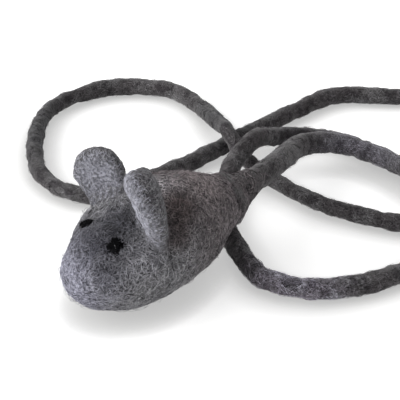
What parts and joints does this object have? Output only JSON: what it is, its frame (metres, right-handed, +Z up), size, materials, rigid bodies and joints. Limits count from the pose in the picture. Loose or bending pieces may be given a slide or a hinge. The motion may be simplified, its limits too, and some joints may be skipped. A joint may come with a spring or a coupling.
{
  "type": "catnip mouse cat toy",
  "caption": "Plump felted wool mouse cat toy with two round dished ears that bend, small dark wool eyes, a catnip pouch inside and one long limp felt rope tail.",
  "frame": {"origin": "on the floor, under the middle of the body", "axes": "+Z up, the nose points to -Y and the rump and tail to +Y, the mouse's left side is +X"},
  "size_m": [0.3019, 0.3267, 0.0798],
  "materials": {
    "body_felt": "matt needle-felted wool, mid grey with light curly fibres and dark gaps",
    "core_wool": "matt loose carded wool",
    "catnip": "dry crushed leaf in a pouch",
    "ear_felt": "matt felt, light lavender grey on the face, darker at the rim",
    "eye_wool": "matt black wool tuft",
    "rope_felt": "matt charcoal wool felt rope"
  },
  "bodies": {
    "mouse_body": {"body_shell": "body_felt", "wool_core": "core_wool", "catnip_filling": "catnip", "eye_left": "eye_wool", "eye_right": "eye_wool", "tail_root": "rope_felt", "tail": "rope_felt"},
    "left_ear": {"ear_left": "ear_felt"},
    "right_ear": {"ear_right": "ear_felt"}
  },
  "joints": [
    {"name": "ear_left_bend", "type": "hinge", "parent": "mouse_body", "child": "left_ear", "pos_m": [0.0185, -0.0125, 0.05029], "axis": [0.8259, -0.2064, -0.5248], "range_deg": [-22, 22], "stiffness_Nm_per_rad": 0.01},
    {"name": "ear_right_bend", "type": "hinge", "parent": "mouse_body", "child": "right_ear", "pos_m": [-0.0185, -0.0125, 0.05029], "axis": [0.7891, 0.3193, 0.5248], "range_deg": [-22, 22], "stiffness_Nm_per_rad": 0.01}
  ]
}
